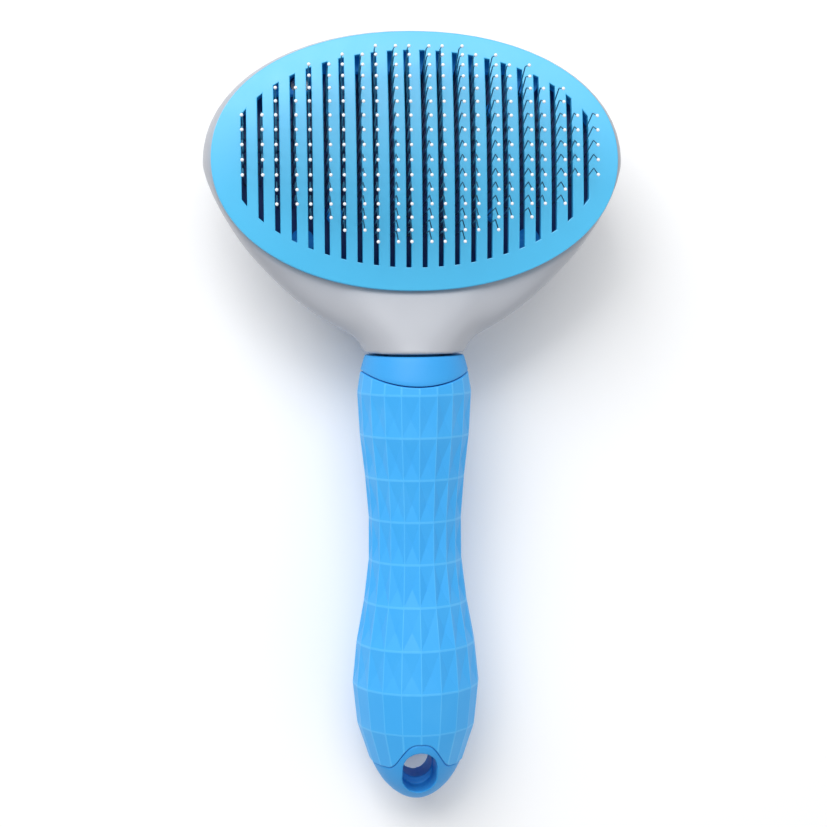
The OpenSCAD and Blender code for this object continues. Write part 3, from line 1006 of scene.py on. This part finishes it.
# %% Make the grip's facets
crest_rings = [[grip_bm.verts.new(on_handle(a, handle_r(s), s)) for a in turn_of] for s in crest_s]
seams = ((top_rings[0], crest_rings[0]), (end_edge_rings[0], crest_rings[-1]))
for c in range(columns):
    after = (c + 1) % columns
    for seam, crest in seams:
        edge_points = [seam[(c * per_column + k) % len(seam)] for k in range(per_column + 1)]
        grip_bm.faces.new(edge_points + [crest[after], crest[c]])
    for k in range(crests - 1):
        s = crest_s[k] + (crest_s[k + 1] - crest_s[k]) * pit_down
        middle = turn_of[c] + half_column
        depth = handle_r(s) * pit_depth * (last_pit if k == crests - 2 else 1)
        pit = grip_bm.verts.new(on_handle(middle, facet_r(middle, s) - depth, s))
        above, below = crest_rings[k], crest_rings[k + 1]
        corners = [above[c], above[after], below[after], below[c]]
        for n in range(4):
            grip_bm.faces.new((corners[n - 1], corners[n], pit))
bmesh.ops.recalc_face_normals(grip_bm, faces=grip_bm.faces)
print("grip:", len(grip_bm.faces), "faces with its facets")

# %% Round the ridges
weight = grip_bm.edges.layers.float.new("bevel_weight_edge")
ridge_verts = {v for ring in crest_rings for v in ring}
for edge in grip_bm.edges:
    if all(v in ridge_verts for v in edge.verts):
        edge[weight] = 1.0
for c in range(columns):
    for seam, crest in seams:
        edge = grip_bm.edges.get((seam[c * per_column], crest[c]))
        if edge:
            edge[weight] = 1.0
grip = piece("grip_overmould", to_mesh(grip_bm, "grip_overmould", 2), grip_rubber,
             "brush", "blue_grip", "grip_sleeve")
ridges = grip.modifiers.new("ridges", "BEVEL")
ridges.limit_method, ridges.width, ridges.segments = "WEIGHT", 0.25 * MM, 2
# The ridges' bevel takes the paler rubber, a painted highlight along the ridges.
grip.data.materials.append(ridge_highlight_rubber)
ridges.material = 1
apply_modifiers(grip, 2)
print("grip:", len(grip.data.polygons), "faces")

# %% [markdown]
# ## The button and what is behind it
#
# The button is turned: a flat ring that the brush can lie on, and a shallow dish
# for the thumb. The spring is a coil of round wire.

# %% Turn the button
button_lo, button_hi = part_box("button_cap")
button_r = (button_hi.x - button_lo.x) / 2
button_wall, button_edge, fillet = 2 * MM, 1.6 * MM, 0.5 * MM
dish, dish_reach, ring_reach = 1.0 * MM, 0.78, 0.84
hub = 0.2 * MM
face = [(hub, dish)]
for k in range(1, 13):
    t = k / 12
    face.append((t * dish_reach * button_r, dish * (1 + math.cos(math.pi * t)) / 2 + 0.02 * MM))
face.append((ring_reach * button_r, 0))
for k in range(7):
    a = math.radians(-90 + 15 * k)
    face.append((button_r - button_edge + button_edge * math.cos(a),
                 button_edge + button_edge * math.sin(a)))
bore_r = button_r - button_wall
cup = [(button_r, button_hi.z), (bore_r, button_hi.z), (bore_r, button_wall + fillet),
       (bore_r - fillet, button_wall), (hub, button_wall)]
profile = [(r, button_lo.z + z) for r, z in face] + cup
button_bm = loft([disc(r, z, 96, (0, head_y)) for r, z in profile])
button = piece("thumb_button", to_mesh(button_bm, "thumb_button"), button_plastic,
               "ejector", "blue_button", "button_cap")
print("button:", round(2 * button_r / MM, 1), "mm across")

# %% Wind the spring
spring_lo, spring_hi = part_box("return_spring")
spring_wire, spring_turns, per_turn = 1 * MM, 8, 28
flat_turns, flat_rise = 0.8, 0.06
spring_r = (spring_hi.x - spring_lo.x - spring_wire) / 2
low, high = spring_lo.z + spring_wire / 2, spring_hi.z - spring_wire / 2
coil = []
for k in range(spring_turns * per_turn + 1):
    a = 2 * math.pi * k / per_turn
    turn = k / per_turn
    lead = min(max((turn - flat_turns) / (spring_turns - 2 * flat_turns), 0), 1)
    ends = min(turn, flat_turns) + max(turn - spring_turns + flat_turns, 0)
    rise = flat_rise * ends / flat_turns + (1 - 2 * flat_rise) * lead
    coil.append(Vector((spring_r * math.cos(a), head_y + spring_r * math.sin(a),
                        low + (high - low) * rise)))
spring_bm = loft(wire_rings(coil, spring_wire / 2, 12))
spring = piece("coil_spring", to_mesh(spring_bm, "coil_spring", 60), spring_steel,
               "brush", "spring_steel", "return_spring")
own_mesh(spring)

# %% [markdown]
# ## Screws and the parts that stay
#
# The neck's screw shows in its counterbore at the back, so its head gets a cross
# recess and a rounded edge. The carrier, the frame and the small screws have
# the right shape already, and only take a finish.


# %% Cut a cross-head screw
def cross_screw(place, head_r, head_h, shank_r, shank_l, sides=48):
    """A screw along +Z of its place, with its head's top at the origin."""
    profile = [(0.02 * MM, 0), (head_r * 0.55, 0.02 * MM), (head_r * 0.85, 0.16 * MM),
               (head_r, 0.5 * MM), (head_r, head_h), (shank_r, head_h),
               (shank_r, head_h + shank_l - MM), (shank_r * 0.25, head_h + shank_l)]
    bm = loft([disc(r, z, sides) for r, z in profile])
    obj = put("screw", to_mesh(bm, "screw"))
    tools = []
    for turn in (0, 1):
        wide, thin, deep = head_r * 0.62, head_r * 0.13, head_h * 0.6
        a, b = (wide, thin) if turn else (thin, wide)
        box = [[Vector((x * k, y * k, z)) for x, y in ((a, b), (-a, b), (-a, -b), (a, -b))]
               for z, k in ((-0.5 * MM, 1.25), (deep, 0.55))]
        tools.append(put("cross", to_mesh(loft(box), "cross")))
    cut_away(obj, tools, 30)
    mesh = obj.data
    bpy.data.objects.remove(obj)
    mesh.transform(place)
    return mesh


screw_s = -5.5 * MM
seat_depth, screw_in = 2.2 * MM, 6.5 * MM
neck_head_r, neck_head_h, neck_shank_r = 2.4 * MM, 1.6 * MM, 0.8 * MM
head_from = -neck_w / 2 + seat_depth - neck_head_h
shank_l = -tenon_d / 2 + screw_in - head_from - neck_head_h
screw_place = (handle_place @ Matrix.Translation((0, head_from, screw_s))
               @ Matrix.Rotation(math.radians(-90), 4, "X"))
screw_mesh = cross_screw(screw_place, neck_head_r, neck_head_h, neck_shank_r, shank_l)
neck_screw = piece("neck_screw_steel", screw_mesh, screw_steel,
                   "brush", "screw_steel", "neck_screw")
print("neck screw:", len(neck_screw.data.polygons), "faces")

# %% Finish the parts that stay
stay = {"pin_carrier": inner_plastic, "pusher_frame": inner_plastic, "carrier_screws": screw_steel}
for node, finish in stay.items():
    obj = frame["nodes"][node]
    if obj.material_slots:
        for material_slot in obj.material_slots:
            material_slot.material = finish
    else:
        obj.data.materials.append(finish)
print("kept as they are:", sorted(stay))

# %% [markdown]
# ## Floor, light and camera
#
# The brush lies on a plain pale floor. The light is soft and comes mostly from
# past the head and from the left: that gives the plate its pale upper part and
# the lower face of each facet its brightness. The camera looks almost straight
# down on the slotted plate, from a little to the left.

# %% Floor
floor_size = 3.0
floor_bm = bmesh.new()
bmesh.ops.create_grid(floor_bm, x_segments=8, y_segments=8, size=floor_size)
floor = put("floor", to_mesh(floor_bm, "floor"))
floor_paint = Paint("floor_paper", (0.97, 0.97, 0.97), 0.9)
floor_paint.bump(floor_paint.noise(2 * MM, 3.0), 0.02 * MM)
floor.data.materials.append(floor_paint.material)
print("floor ready")


# %% Lights
def softbox(name, direction, distance, size, power):
    """A square light that faces the head from a direction."""
    aim = Vector((0, head_y * 0.3, plate_face))
    light = bpy.data.lights.new(name, "AREA")
    light.shape, light.size, light.energy = "SQUARE", size, power
    obj = put(name, light)
    away = Vector(direction).normalized()
    obj.location = aim + away * distance
    obj.rotation_euler = away.to_track_quat("Z", "Y").to_euler()


softbox("key", (-0.5, 0.75, 1.0), 1.2, 0.8, 9.5)
softbox("fill", (0.9, -0.6, 1.2), 1.4, 1.0, 1.6)
softbox("top", (0.1, 0.62, 1.0), 1.4, 0.7, 4.5)
world = bpy.context.scene.world or bpy.data.worlds.new("studio")
bpy.context.scene.world = world
world.use_nodes = True
sky = world.node_tree.nodes["Background"]
sky.inputs["Color"].default_value = (0.97, 0.98, 1.0, 1)
sky.inputs["Strength"].default_value = 0.5
bpy.context.scene.view_settings.view_transform = "Standard"
print("lights: key, fill and top")

# %% Camera
turn, roll, tilt = math.radians(5.33), math.radians(0.79), math.radians(0.13)
distance = 448 * MM
field = math.radians(26.4)
aim = Vector((0, 1.8 * MM, 20.5 * MM))
facing = (Matrix.Rotation(tilt, 4, "X") @ Matrix.Rotation(-turn, 4, "Y")
          @ Matrix.Rotation(-roll, 4, "Z"))
camera = put("camera", bpy.data.cameras.new("camera"))
camera.data.sensor_width = 36
camera.data.lens = 18 / math.tan(field / 2)
camera.data.clip_start, camera.data.clip_end = 0.02, 20
camera.matrix_world = Matrix.Translation(aim) @ facing @ Matrix.Translation((0, 0, distance))
bpy.context.scene.camera = camera
print("camera", [round(c, 3) for c in camera.location])
